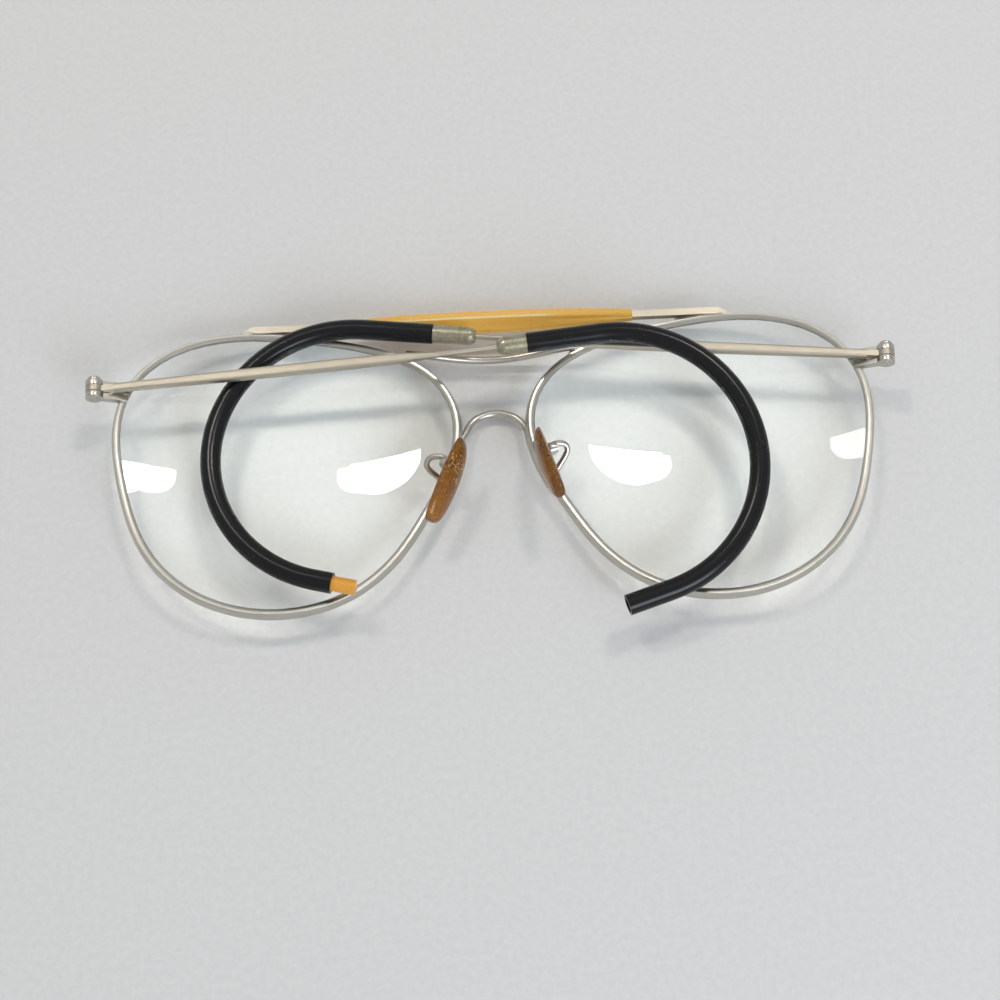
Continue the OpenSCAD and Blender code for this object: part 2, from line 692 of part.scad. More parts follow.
// Temple arms: a tongue with its eye, a spindle-shaped bar and the thin wire
tongue_l = 3.8;
arm_start = 3.4;
arm_sides = 12;
arm_stages = [
    [0, arm_neck, 0.9], [0.04, arm_neck, 0.93], [0.15, arm_neck + 0.08, 0.97], [0.35, arm_w - 0.1, 1],
    [0.5, arm_w, 1], [0.68, arm_w - 0.05, 1], [0.82, arm_w - 0.15, 1], [0.9, arm_w - 0.4, 0.95],
    [0.96, wire_d + 0.2, 0.78], [1, wire_d, wire_d / arm_t]
];
function squared(a, p) = [sign(cos(a)) * pow(abs(cos(a)), p), sign(sin(a)) * pow(abs(sin(a)), p)];
module temple_arm(side) {
    rings = [
        for (s = arm_stages)
        let (
            x = arm_start + s[0] * (arm_l - arm_start),
            power = s[0] < 0.95 ? 0.4 : s[0] < 0.99 ? 0.75 : 1
        )
        [
            for (j = [0:arm_sides - 1])
            let (q = squared(360 * (j + 0.5) / arm_sides, power))
            [x, q[0] * s[1] / 2, q[1] * s[2] * arm_t / 2]
        ]
    ];
    wire_end = reach(side) - lead(side) - cap(side) + wire_in;
    color(silver) lay() temple_frame(side) {
        difference() {
            union() {
                rotate([90, 0, 0]) cylinder(r = lug_r, h = tongue_t, center = true, $fn = round_fn);
                translate([0, -tongue_t / 2, -arm_t * 0.42]) cube([tongue_l, tongue_t, arm_t * 0.84]);
                skin(rings);
            }
            rotate([90, 0, 0]) cylinder(r = screw_r + screw_clear, h = 2 * tongue_t, center = true, $fn = round_fn);
        }
        wire_frame(side) translate([-lap, 0, 0]) rotate([0, 90, 0])
            cylinder(r = wire_d / 2 - eps, h = wire_end + lap, $fn = round_fn);
    }
}
module temple_arm_left() { temple_arm(-1); }
module temple_arm_right() { temple_arm(1); }

// Curl frames: x on from the wire, curling to -y, drooping to the lens
module curl_frame(side) {
    temple_frame(side) wire_frame(side) translate([reach(side), 0, 0])
        rotate([side < 0 ? droop_left : droop_right, 0, 0]) children();
}

// Ferrules, domed towards the wire, with a socket for the core
bore_r = tube_d / 2 - tube_wall;
core_r = bore_r - 2 * push_fit;
ferrule_r = (bore_r + tube_d / 2) / 2 + 0.06;
ferrule_dome = [[0.92, 0], [1.22, 0.25], [ferrule_r - 0.12, 0.75], [ferrule_r, 1.4]];
wire_in = 2.4;
core_in = 2.4;
// Rods and tubes are a hair stouter where they are straight, and lap over the bend
step = 0.02;
lap = 0.4;
socket_r = core_r + step + push_fit;
module ferrule(side) {
    l = cap(side);
    color(dull) lay() curl_frame(side) translate([-lead(side) - l, 0, 0]) rotate([0, 90, 0])
        rotate_extrude($fn = round_fn) polygon([
            [wire_d / 2 + push_fit, 0], each ferrule_dome, [ferrule_r, l], [socket_r, l],
            [socket_r, l - core_in - push_fit], [wire_d / 2 + push_fit, l - core_in - push_fit]
        ]);
}
module ferrule_left() { ferrule(-1); }
module ferrule_right() { ferrule(1); }

// A rod or tube along the lead, the curl and the free end
module curl_sweep(side, r, from, out) {
    translate([-from, 0, 0]) rotate([0, 90, 0]) cylinder(r = r + step, h = from + lap, $fn = round_fn);
    translate([0, -curl_r, 0]) rotate([0, 0, 90 - curl_turn(side)])
        rotate_extrude(angle = curl_turn(side), $fn = 96) translate([curl_r, 0]) circle(r = r, $fn = round_fn);
    translate([0, -curl_r, 0]) rotate([0, 0, -curl_turn(side)]) translate([-lap, curl_r, 0]) rotate([0, 90, 0])
        cylinder(r = r + step, h = out + lap, $fn = round_fn);
}

// Amber cores: the tip stands out of the right tube and sits back in the left one
function core_out(side) = tip(side) + (side < 0 ? -tip_in : tip_out);
module cable_core(side) {
    color(amber) lay() curl_frame(side) curl_sweep(side, core_r, lead(side) + core_in, core_out(side));
}
module cable_core_left() { cable_core(-1); }
module cable_core_right() { cable_core(1); }

// Black tubes over the ear curls
module ear_tube(side) {
    color(black) lay() curl_frame(side) difference() {
        curl_sweep(side, tube_d / 2, lead(side) - push_fit, tip(side));
        curl_sweep(side, bore_r, lead(side) + 1, tip(side) + 1);
    }
}
module ear_tube_left() { ear_tube(-1); }
module ear_tube_right() { ear_tube(1); }

rim_left();
rim_right();
lens_left();
lens_right();
bridge_wire();
nose_arch();
brow_bar();
brow_sleeve();
lug_upper_left();
lug_lower_left();
lug_upper_right();
lug_lower_right();
hinge_screw_left();
hinge_screw_right();
pad_arm_left();
pad_arm_right();
nose_pad_left();
nose_pad_right();
pad_stud_left();
pad_stud_right();
temple_arm_left();
temple_arm_right();
ferrule_left();
ferrule_right();
cable_core_left();
cable_core_right();
ear_tube_left();
ear_tube_right();
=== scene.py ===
"""Aviator eyeglasses with cable temples, folded on their lens fronts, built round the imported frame."""

import json
import math

import bmesh
import bpy
import numpy as np
from bpy.props import FloatProperty, FloatVectorProperty, PointerProperty
from mathutils import Matrix, Vector


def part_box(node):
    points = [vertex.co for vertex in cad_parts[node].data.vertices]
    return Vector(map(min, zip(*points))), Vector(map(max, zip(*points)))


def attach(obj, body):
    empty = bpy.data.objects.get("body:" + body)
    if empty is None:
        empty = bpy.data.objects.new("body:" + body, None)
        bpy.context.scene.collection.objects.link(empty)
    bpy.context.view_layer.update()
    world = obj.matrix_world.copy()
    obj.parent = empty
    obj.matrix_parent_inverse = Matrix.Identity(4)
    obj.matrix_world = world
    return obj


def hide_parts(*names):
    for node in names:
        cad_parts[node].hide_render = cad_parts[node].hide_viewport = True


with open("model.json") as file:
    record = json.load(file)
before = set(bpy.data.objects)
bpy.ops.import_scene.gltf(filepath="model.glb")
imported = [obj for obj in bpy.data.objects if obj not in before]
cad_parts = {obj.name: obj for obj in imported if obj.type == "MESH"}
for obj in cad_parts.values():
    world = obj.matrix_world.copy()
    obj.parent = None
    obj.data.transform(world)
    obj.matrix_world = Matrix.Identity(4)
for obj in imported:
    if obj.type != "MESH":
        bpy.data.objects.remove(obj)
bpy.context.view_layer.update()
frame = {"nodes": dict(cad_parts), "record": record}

bl_info = {
    "name": "Aviator Eyeglasses",
    "version": (1, 0, 0),
    "blender": (4, 5, 0),
    "location": "View3D > Sidebar > Eyeglasses",
    "description": "Dresses the aviator eyeglasses in smooth metal, glass and plastic",
    "category": "Object",
}

MM = 0.001
BODY_OF = {
    node: body
    for body, nodes in frame["record"]["behaviour"]["bodies"].items()
    for node in nodes
}
SIDES = ("left", "right")

# Colours of wear, dirt, a painted highlight and light, which stay as they are
FERRULE_BARE = (0.50, 0.46, 0.36, 1)
FERRULE_SPOTS = (0.42, 0.36, 0.16, 1)
GLASS_TINT = (0.975, 0.985, 0.98, 1)
GLASS_DUST = (0.85, 0.85, 0.82, 1)
GLASS_SHADOW = (0.93, 0.95, 0.94, 1)
HONEY_CLOUD = (0.88, 0.58, 0.24, 1)
# pale cream of the painted highlight on the sleeve's ridge
HONEY_RIDGE_HIGHLIGHT = (0.96, 0.80, 0.44, 1)
AMBER_DARKER = (0.34, 0.145, 0.018, 1)
AMBER_FLAWS = (0.22, 0.09, 0.014, 1)
AMBER_SPECKS = (1.0, 0.82, 0.50, 1)
CORE_GRIME = (0.42, 0.17, 0.03, 1)
TUBE_SCUFFS = (0.022, 0.022, 0.022, 1)
TUBE_DUST = (0.30, 0.28, 0.25, 1)
LAMP_GLOW = (1.0, 0.96, 0.90, 1)
FILL_GLOW = (0.82, 0.90, 1.0)
SKY_LIGHT = (0.95, 0.97, 1.0, 1)
SKY_SEEN = (1, 1, 1, 1)

# Refraction of the clear materials, and how deep light goes into each plastic
GLASS_IOR = 1.523
HONEY_IOR = 1.5
PAD_IOR = 1.49
TUBE_IOR = 1.5
HONEY_DEPTH = (0.9, 0.4, 0.12)
AMBER_DEPTH = (1.0, 0.4, 0.1)


# Sizes and colours that a user may change
class FinishSettings(bpy.types.PropertyGroup):
    """Edge sizes and colours of the eyeglasses."""

    metal_edge: FloatProperty(
        name="Metal edge", description="Radius of the polished edges of lugs, bar and eyes",
        default=0.07 * MM, min=0.02 * MM, max=0.15 * MM, subtype="DISTANCE", unit="LENGTH",
    )
    sleeve_edge: FloatProperty(
        name="Sleeve edge", description="Width of the rubbed ridges of the honey sleeve",
        default=0.14 * MM, min=0.05 * MM, max=0.3 * MM, subtype="DISTANCE", unit="LENGTH",
    )
    wire_swell: FloatProperty(
        name="Wire swell", description="Growth that gives a smoothed wire its full thickness back",
        default=0.03 * MM, min=0.0, max=0.06 * MM, subtype="DISTANCE", unit="LENGTH",
    )
    silver: FloatVectorProperty(
        name="Silver", description="Colour of the satin nickel silver",
        default=(0.56, 0.54, 0.49), min=0, max=1, subtype="COLOR",
    )
    warm_silver: FloatVectorProperty(
        name="Warm silver", description="Colour of the duller, warmer temple arms",
        default=(0.50, 0.455, 0.37), min=0, max=1, subtype="COLOR",
    )
    tarnish: FloatVectorProperty(
        name="Tarnish", description="Colour of the yellowed metal near the pads and joints",
        default=(0.47, 0.39, 0.22), min=0, max=1, subtype="COLOR",
    )
    verdigris: FloatVectorProperty(
        name="Verdigris", description="Colour of the corrosion on the ferrules",
        default=(0.22, 0.22, 0.10), min=0, max=1, subtype="COLOR",
    )
    honey: FloatVectorProperty(
        name="Honey", description="Colour of the brow sleeve",
        default=(0.98, 0.54, 0.085), min=0, max=1, subtype="COLOR",
    )
    amber: FloatVectorProperty(
        name="Amber", description="Colour of the nose pads",
        default=(0.62, 0.25, 0.022), min=0, max=1, subtype="COLOR",
    )
    core: FloatVectorProperty(
        name="Core", description="Colour of the amber tip of the ear curl",
        default=(0.80, 0.37, 0.045), min=0, max=1, subtype="COLOR",
    )
    tube: FloatVectorProperty(
        name="Tube", description="Colour of the black ear tubes",
        default=(0.005, 0.005, 0.006), min=0, max=1, subtype="COLOR",
    )
    floor: FloatVectorProperty(
        name="Floor", description="Colour of the pale floor",
        default=(0.72, 0.71, 0.69), min=0, max=1, subtype="COLOR",
    )


# Shaping
def select_only(piece):
    bpy.ops.object.select_all(action="DESELECT")
    piece.select_set(True)
    bpy.context.view_layer.objects.active = piece


def edit_all(piece):
    """Opens a piece in edit mode with all of it selected."""
    select_only(piece)
    bpy.ops.object.mode_set(mode="EDIT")
    bpy.ops.mesh.select_all(action="SELECT")


def leave_edit():
    bpy.ops.object.mode_set(mode="OBJECT")


def copy_of(node, name):
    """A copy of a CAD node, its loose triangles joined, to be shaped further."""
    select_only(frame["nodes"][node])
    bpy.ops.object.duplicate()
    piece = bpy.context.active_object
    for key in list(piece.keys()):
        del piece[key]
    piece.parent = None
    piece.name = name
    piece.data.name = name
    piece.data.materials.clear()
    edit_all(piece)
    bpy.ops.mesh.customdata_custom_splitnormals_clear()
    bpy.ops.mesh.remove_doubles(threshold=1e-6)
    leave_edit()
    return piece


def modify(piece, kind, **values):
    """Adds a modifier with these values and applies it."""
    select_only(piece)
    modifier = piece.modifiers.new(kind.title(), kind)
    for key, value in values.items():
        setattr(modifier, key, value)
    bpy.ops.object.modifier_apply(modifier=modifier.name)


def as_quads(piece):
    edit_all(piece)
    bpy.ops.mesh.tris_convert_to_quads(face_threshold=math.radians(30), shape_threshold=math.radians(120))
    leave_edit()


def without_flat_seams(piece, angle=1.0):
    edit_all(piece)
    bpy.ops.mesh.dissolve_limited(angle_limit=math.radians(angle))
    leave_edit()


def crease_sharp(piece, angle):
    """Creases the edges that turn by more than the angle, so that smoothing keeps them."""
    mesh = bmesh.new()
    mesh.from_mesh(piece.data)
    crease = mesh.edges.layers.float.get("crease_edge") or mesh.edges.layers.float.new("crease_edge")
    for edge in mesh.edges:
        if len(edge.link_faces) != 2 or edge.calc_face_angle(0) > math.radians(angle):
            edge[crease] = 1
    mesh.to_mesh(piece.data)
    mesh.free()


def smooth(piece, angle=35):
    select_only(piece)
    bpy.ops.object.shade_smooth_by_angle(angle=math.radians(angle))


def rounded(piece, levels, crease, swell=0.0, angle=40):
    """Turns a faceted wire or pad into a smooth one, with its sharp rims kept."""
    as_quads(piece)
    crease_sharp(piece, crease)
    modify(piece, "SUBSURF", levels=levels, render_levels=levels)
    if swell:
        modify(piece, "DISPLACE", strength=swell, mid_level=0)
    smooth(piece, angle)


def edged(piece, width, angle=30, segments=3):
    """Gives a cut piece its small polished edges."""
    without_flat_seams(piece)
    modify(
        piece, "BEVEL", width=width, segments=segments, limit_method="ANGLE",
        angle_limit=math.radians(angle), use_clamp_overlap=True, miter_outer="MITER_ARC",
    )
    smooth(piece, 40)
    modify(piece, "WEIGHTED_NORMAL", keep_sharp=True, weight=80)


def finish_piece(piece, node, material):
    """Gives a finished piece its material, and puts it in its node's place on the node's body."""
    piece.data.materials.append(material)
    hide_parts(node)
    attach(piece, BODY_OF[node])


# Shared effects as node groups
def new_group(name, inputs, outputs):
    group = bpy.data.node_groups.new(name, "ShaderNodeTree")
    for label, kind, value in inputs:
        socket = group.interface.new_socket(label, in_out="INPUT", socket_type=kind)
        if value is not None:
            socket.default_value = value
    for label, kind in outputs:
        group.interface.new_socket(label, in_out="OUTPUT", socket_type=kind)
    return group, group.nodes.new("NodeGroupInput"), group.nodes.new("NodeGroupOutput")


def noise_node(tree, vector, scale, detail=4.0, roughness=0.55, distortion=0.0):
    node = tree.nodes.new("ShaderNodeTexNoise")
    node.inputs["Detail"].default_value = detail
    node.inputs["Roughness"].default_value = roughness
    node.inputs["Distortion"].default_value = distortion
    tree.links.new(vector, node.inputs["Vector"])
    if isinstance(scale, bpy.types.NodeSocket):
        tree.links.new(scale, node.inputs["Scale"])
    else:
        node.inputs["Scale"].default_value = scale
    return node.outputs["Fac"]


def math_node(tree, operation, a, b=0.0, clamp=False):
    node = tree.nodes.new("ShaderNodeMath")
    node.operation = operation
    node.use_clamp = clamp
    for socket, value in zip(node.inputs, (a, b)):
        if isinstance(value, bpy.types.NodeSocket):
            tree.links.new(value, socket)
        else:
            socket.default_value = value
    return node.outputs["Value"]


def part_of(tree, mask, share):
    """A mask at a share of its strength."""
    return math_node(tree, "MULTIPLY", mask, share)


def ramp_node(tree, factor, low, high, start=0.0, end=1.0):
    node = tree.nodes.new("ShaderNodeMapRange")
    for label, value in (("From Min", low), ("From Max", high), ("To Min", start), ("To Max", end)):
        node.inputs[label].default_value = value
    tree.links.new(factor, node.inputs["Value"])
    return node.outputs["Result"]


def mix_node(tree, factor, a, b):
    node = tree.nodes.new("ShaderNodeMix")
    node.data_type = "RGBA"
    for socket, value in ((node.inputs[0], factor), (node.inputs[6], a), (node.inputs[7], b)):
        if isinstance(value, bpy.types.NodeSocket):
            tree.links.new(value, socket)
        else:
            socket.default_value = value
    return node.outputs[2]


def bump_node(tree, height, strength, distance):
    node = tree.nodes.new("ShaderNodeBump")
    node.inputs["Strength"].default_value = strength
    node.inputs["Distance"].default_value = distance
    tree.links.new(height, node.inputs["Height"])
    return node.outputs["Normal"]


def satin_group():
    """Brushed satin: fine scratches in all directions over soft cloudy wear."""
    if "Satin wear" in bpy.data.node_groups:
        return bpy.data.node_groups["Satin wear"]
    group, given, result = new_group(
        "Satin wear",
        [("Vector", "NodeSocketVector", None), ("Scratch scale", "NodeSocketFloat", 1800.0),
         ("Cloud scale", "NodeSocketFloat", 160.0)],
        [("Scratches", "NodeSocketFloat"), ("Clouds", "NodeSocketFloat"), ("Height", "NodeSocketFloat")],
    )
    fine = noise_node(group, given.outputs["Vector"], given.outputs["Scratch scale"], 6, 0.7, 0.4)
    cloud = noise_node(group, given.outputs["Vector"], given.outputs["Cloud scale"], 5, 0.6, 0.8)
    stretch = group.nodes.new("ShaderNodeMapping")
    stretch.inputs["Scale"].default_value = (0.12, 1.0, 1.0)
    stretch.inputs["Rotation"].default_value = (0.0, 0.0, 0.35)
    group.links.new(given.outputs["Vector"], stretch.inputs["Vector"])
    streak = noise_node(group, stretch.outputs["Vector"], 5200.0, 3, 0.5)
    scratches = math_node(group, "MULTIPLY", fine, streak)
    group.links.new(ramp_node(group, scratches, 0.15, 0.42), result.inputs["Scratches"])
    group.links.new(ramp_node(group, cloud, 0.32, 0.68), result.inputs["Clouds"])
    height = math_node(group, "ADD", scratches, part_of(group, cloud, 0.3))
    group.links.new(height, result.inputs["Height"])
    return group


def patch_group():
    """Patches of dirt or corrosion, with broken edges."""
    if "Broken patches" in bpy.data.node_groups:
        return bpy.data.node_groups["Broken patches"]
    group, given, result = new_group(
        "Broken patches",
        [("Vector", "NodeSocketVector", None), ("Scale", "NodeSocketFloat", 500.0),
         ("Cover", "NodeSocketFloat", 0.4)],
        [("Mask", "NodeSocketFloat"), ("Height", "NodeSocketFloat")],
    )
    broad = noise_node(group, given.outputs["Vector"], given.outputs["Scale"], 7, 0.68, 1.2)
    grit_scale = part_of(group, given.outputs["Scale"], 6.0)
    grit = noise_node(group, given.outputs["Vector"], grit_scale, 4, 0.6)
    both = math_node(group, "ADD", part_of(group, broad, 0.72), part_of(group, grit, 0.28))
    over = math_node(group, "ADD", both, given.outputs["Cover"])
    group.links.new(ramp_node(group, over, 0.86, 1.02), result.inputs["Mask"])
    group.links.new(both, result.inputs["Height"])
    return group


def speck_group():
    """Small specks of dust, scattered thinly."""
    if "Dust specks" in bpy.data.node_groups:
        return bpy.data.node_groups["Dust specks"]
    group, given, result = new_group(
        "Dust specks",
        [("Vector", "NodeSocketVector", None), ("Scale", "NodeSocketFloat", 900.0),
         ("Amount", "NodeSocketFloat", 0.12)],
        [("Mask", "NodeSocketFloat")],
    )
    cell = group.nodes.new("ShaderNodeTexVoronoi")
    group.links.new(given.outputs["Vector"], cell.inputs["Vector"])
    group.links.new(given.outputs["Scale"], cell.inputs["Scale"])
    here = noise_node(group, given.outputs["Vector"], 260.0, 3)
    size = math_node(group, "MULTIPLY", given.outputs["Amount"], ramp_node(group, here, 0.42, 0.7))
    group.links.new(math_node(group, "LESS_THAN", cell.outputs["Distance"], size), result.inputs["Mask"])
    return group


def new_material(name):
    material = bpy.data.materials.new(name)
    material.use_nodes = True
    tree = material.node_tree
    shader = tree.nodes["Principled BSDF"]
    place = tree.nodes.new("ShaderNodeTexCoord").outputs["Object"]
    return material, tree, shader, place


def place_group(tree, group, vector, **values):
    node = tree.nodes.new("ShaderNodeGroup")
    node.node_tree = group
    tree.links.new(vector, node.inputs["Vector"])
    for label, value in values.items():
        node.inputs[label.replace("_", " ")].default_value = value
    return node


def colour(value, scale=1.0):
    return (*(channel * scale for channel in value), 1.0)


def satin_silver(settings, name, metal, roughness=0.40, tarnish=0.25):
    """Satin nickel silver, a little yellowed in patches and very finely scratched."""
    material, tree, shader, place = new_material(name)
    wear = place_group(tree, satin_group(), place)
    patch = place_group(tree, patch_group(), place, Scale=210.0, Cover=tarnish)
    base = mix_node(tree, wear.outputs["Clouds"], colour(metal, 0.94), colour(metal, 1.04))
    base = mix_node(tree, part_of(tree, patch.outputs["Mask"], 0.7), base, colour(settings.tarnish))
    tree.links.new(base, shader.inputs["Base Color"])
    shader.inputs["Metallic"].default_value = 1.0
    rough = ramp_node(tree, wear.outputs["Scratches"], 0, 1, roughness - 0.03, roughness + 0.06)
    rough = math_node(tree, "ADD", rough, part_of(tree, patch.outputs["Mask"], 0.08))
    tree.links.new(rough, shader.inputs["Roughness"])
    tree.links.new(bump_node(tree, wear.outputs["Height"], 0.03, 0.006 * MM), shader.inputs["Normal"])
    return material


def corroded_cap(settings):
    """Dull ferrule metal under olive verdigris."""
    material, tree, shader, place = new_material("ferrule corroded metal")
    patch = place_group(tree, patch_group(), place, Scale=420.0, Cover=0.40)
    spots = place_group(tree, patch_group(), place, Scale=1300.0, Cover=0.27)
    base = mix_node(tree, patch.outputs["Mask"], FERRULE_BARE, colour(settings.verdigris))
    base = mix_node(tree, part_of(tree, spots.outputs["Mask"], 0.7), base, FERRULE_SPOTS)
    tree.links.new(base, shader.inputs["Base Color"])
    cover = math_node(tree, "ADD", patch.outputs["Mask"], spots.outputs["Mask"], clamp=True)
    tree.links.new(ramp_node(tree, cover, 0, 1, 1.0, 0.65), shader.inputs["Metallic"])
    tree.links.new(ramp_node(tree, cover, 0, 1, 0.30, 0.50), shader.inputs["Roughness"])
    tree.links.new(bump_node(tree, patch.outputs["Height"], 0.4, 0.06 * MM), shader.inputs["Normal"])
    return material


def clear_glass():
    """Ground glass, clear, with faint scuffs and dust, that lets the lamps through."""
    material, tree, shader, place = new_material("lens clear glass")
    dust = place_group(tree, speck_group(), place, Scale=900.0, Amount=0.11)
    scuff = place_group(tree, patch_group(), place, Scale=60.0, Cover=0.22)
    base = mix_node(tree, dust.outputs["Mask"], GLASS_TINT, GLASS_DUST)
    tree.links.new(base, shader.inputs["Base Color"])
    haze = part_of(tree, scuff.outputs["Mask"], 0.03)
    rough = math_node(tree, "MAXIMUM", part_of(tree, dust.outputs["Mask"], 0.6), haze)
    tree.links.new(rough, shader.inputs["Roughness"])
    shader.inputs["IOR"].default_value = GLASS_IOR
    shader.inputs["Transmission Weight"].default_value = 1.0
    see = tree.nodes.new("ShaderNodeBsdfTransparent")
    see.inputs["Color"].default_value = GLASS_SHADOW
    rays = tree.nodes.new("ShaderNodeLightPath")
    mixer = tree.nodes.new("ShaderNodeMixShader")
    tree.links.new(rays.outputs["Is Shadow Ray"], mixer.inputs[0])
    tree.links.new(shader.outputs["BSDF"], mixer.inputs[1])
    tree.links.new(see.outputs["BSDF"], mixer.inputs[2])
    tree.links.new(mixer.outputs["Shader"], tree.nodes["Material Output"].inputs["Surface"])
    return material


def honey_plastic(settings):
    """Cast honey plastic: faint streaks along the bar, slightly cloudy, with a painted highlight on the flat
    of the ridge.
    """
    material, tree, shader, place = new_material("brow honey plastic")
    along = tree.nodes.new("ShaderNodeMapping")
    along.inputs["Scale"].default_value = (0.06, 1.0, 1.0)
    tree.links.new(place, along.inputs["Vector"])
    streak = noise_node(tree, along.outputs["Vector"], 900.0, 5, 0.6, 0.5)
    wear = place_group(tree, satin_group(), place)
    streaks = ramp_node(tree, streak, 0.3, 0.7)
    base = mix_node(tree, streaks, colour(settings.honey, 0.96), colour(settings.honey, 1.04))
    base = mix_node(tree, part_of(tree, wear.outputs["Clouds"], 0.12), base, HONEY_CLOUD)
    # painted highlight: the ridge's upward-facing flat is mixed unevenly towards pale cream
    ridge = tree.nodes.new("ShaderNodeAttribute")
    ridge.attribute_name = "painted_ridge_highlight"
    uneven = ramp_node(tree, wear.outputs["Clouds"], 0, 1, 0.7, 1.0)
    pale = math_node(tree, "MULTIPLY", ridge.outputs["Fac"], uneven)
    base = mix_node(tree, pale, base, HONEY_RIDGE_HIGHLIGHT)
    tree.links.new(base, shader.inputs["Base Color"])
    tree.links.new(ramp_node(tree, wear.outputs["Scratches"], 0, 1, 0.24, 0.44), shader.inputs["Roughness"])
    shader.inputs["Subsurface Weight"].default_value = 0.35
    shader.inputs["Subsurface Radius"].default_value = HONEY_DEPTH
    shader.inputs["Subsurface Scale"].default_value = 0.8 * MM
    shader.inputs["IOR"].default_value = HONEY_IOR
    tree.links.new(bump_node(tree, wear.outputs["Height"], 0.12, 0.015 * MM), shader.inputs["Normal"])
    return material


def amber_plastic(settings):
    """Old amber pad plastic: clear enough to show its plate, mottled darker towards the brow."""
    material, tree, shader, place = new_material("pad amber plastic")
    flaws = place_group(tree, patch_group(), place, Scale=900.0, Cover=0.42)
    specks = place_group(tree, speck_group(), place, Scale=2200.0, Amount=0.46)
    cloud = noise_node(tree, place, 320.0, 5, 0.6, 0.6)
    split = tree.nodes.new("ShaderNodeSeparateXYZ")
    tree.links.new(place, split.inputs["Vector"])
    # darker, more flawed, more specked and less clear towards the brow end of the pad, by height
    low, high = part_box("nose_pad_left")
    towards_brow = ramp_node(tree, split.outputs["Y"], low[1], high[1], 0.15, 1.0)
    clouds = ramp_node(tree, cloud, 0.3, 0.7)
    base = mix_node(tree, clouds, colour(settings.amber, 0.8), colour(settings.amber, 1.2))
    base = mix_node(tree, part_of(tree, towards_brow, 0.6), base, AMBER_DARKER)
    base = mix_node(tree, math_node(tree, "MULTIPLY", flaws.outputs["Mask"], towards_brow), base, AMBER_FLAWS)
    base = mix_node(tree, math_node(tree, "MULTIPLY", specks.outputs["Mask"], towards_brow), base, AMBER_SPECKS)
    tree.links.new(base, shader.inputs["Base Color"])
    tree.links.new(ramp_node(tree, flaws.outputs["Mask"], 0, 1, 0.06, 0.30), shader.inputs["Roughness"])
    shader.inputs["IOR"].default_value = PAD_IOR
    marks = math_node(tree, "MAXIMUM", specks.outputs["Mask"], flaws.outputs["Mask"])
    solid = math_node(tree, "MULTIPLY", marks, towards_brow)
    tree.links.new(ramp_node(tree, solid, 0, 1, 0.85, 0.15), shader.inputs["Transmission Weight"])
    shader.inputs["Subsurface Weight"].default_value = 0.3
    shader.inputs["Subsurface Radius"].default_value = AMBER_DEPTH
    shader.inputs["Subsurface Scale"].default_value = 1.0 * MM
    tree.links.new(bump_node(tree, flaws.outputs["Height"], 0.25, 0.05 * MM), shader.inputs["Normal"])
    return material


def core_plastic(settings):
    """Opaque amber of the ear curl's core, a little grimy."""
    material, tree, shader, place = new_material("core amber plastic")
    grime = place_group(tree, patch_group(), place, Scale=600.0, Cover=0.30)
    base = mix_node(tree, part_of(tree, grime.outputs["Mask"], 0.5), colour(settings.core), CORE_GRIME)
    tree.links.new(base, shader.inputs["Base Color"])
    tree.links.new(ramp_node(tree, grime.outputs["Mask"], 0, 1, 0.30, 0.5), shader.inputs["Roughness"])
    shader.inputs["Subsurface Weight"].default_value = 0.2
    shader.inputs["Subsurface Radius"].default_value = AMBER_DEPTH
    shader.inputs["Subsurface Scale"].default_value = 0.8 * MM
    tree.links.new(bump_node(tree, grime.outputs["Height"], 0.3, 0.05 * MM), shader.inputs["Normal"])
    return material


def black_tube(settings):
    """Glossy black plastic tube, handled, with scuffs and a little dust."""
    material, tree, shader, place = new_material("ear tube black plastic")
    scuff = place_group(tree, patch_group(), place, Scale=330.0, Cover=0.30)
    dust = place_group(tree, speck_group(), place, Scale=1500.0, Amount=0.16)
    base = mix_node(tree, part_of(tree, scuff.outputs["Mask"], 0.3), colour(settings.tube), TUBE_SCUFFS)
    base = mix_node(tree, part_of(tree, dust.outputs["Mask"], 0.35), base, TUBE_DUST)
    tree.links.new(base, shader.inputs["Base Color"])
    tree.links.new(ramp_node(tree, scuff.outputs["Mask"], 0, 1, 0.23, 0.30), shader.inputs["Roughness"])
    shader.inputs["IOR"].default_value = TUBE_IOR
    shader.inputs["Specular IOR Level"].default_value = 0.32
    tree.links.new(bump_node(tree, scuff.outputs["Height"], 0.02, 0.03 * MM), shader.inputs["Normal"])
    return material


# Operators, one for each group of like pieces
class EYEGLASSES_OT_rims(bpy.types.Operator):
    """Rounds the rim wires and keeps their V grooves and saw cuts crisp"""

    bl_idname = "eyeglasses.rims"
    bl_label = "Rims"

    def execute(self, context):
        settings = context.scene.eyeglasses
        metal = satin_silver(settings, "rim satin silver", settings.silver, 0.32, 0.26)
        for side in SIDES:
            piece = copy_of(f"rim_{side}", f"{side}_rim_wire")
            rounded(piece, 2, 36, settings.wire_swell)
            finish_piece(piece, f"rim_{side}", metal)
        return {"FINISHED"}


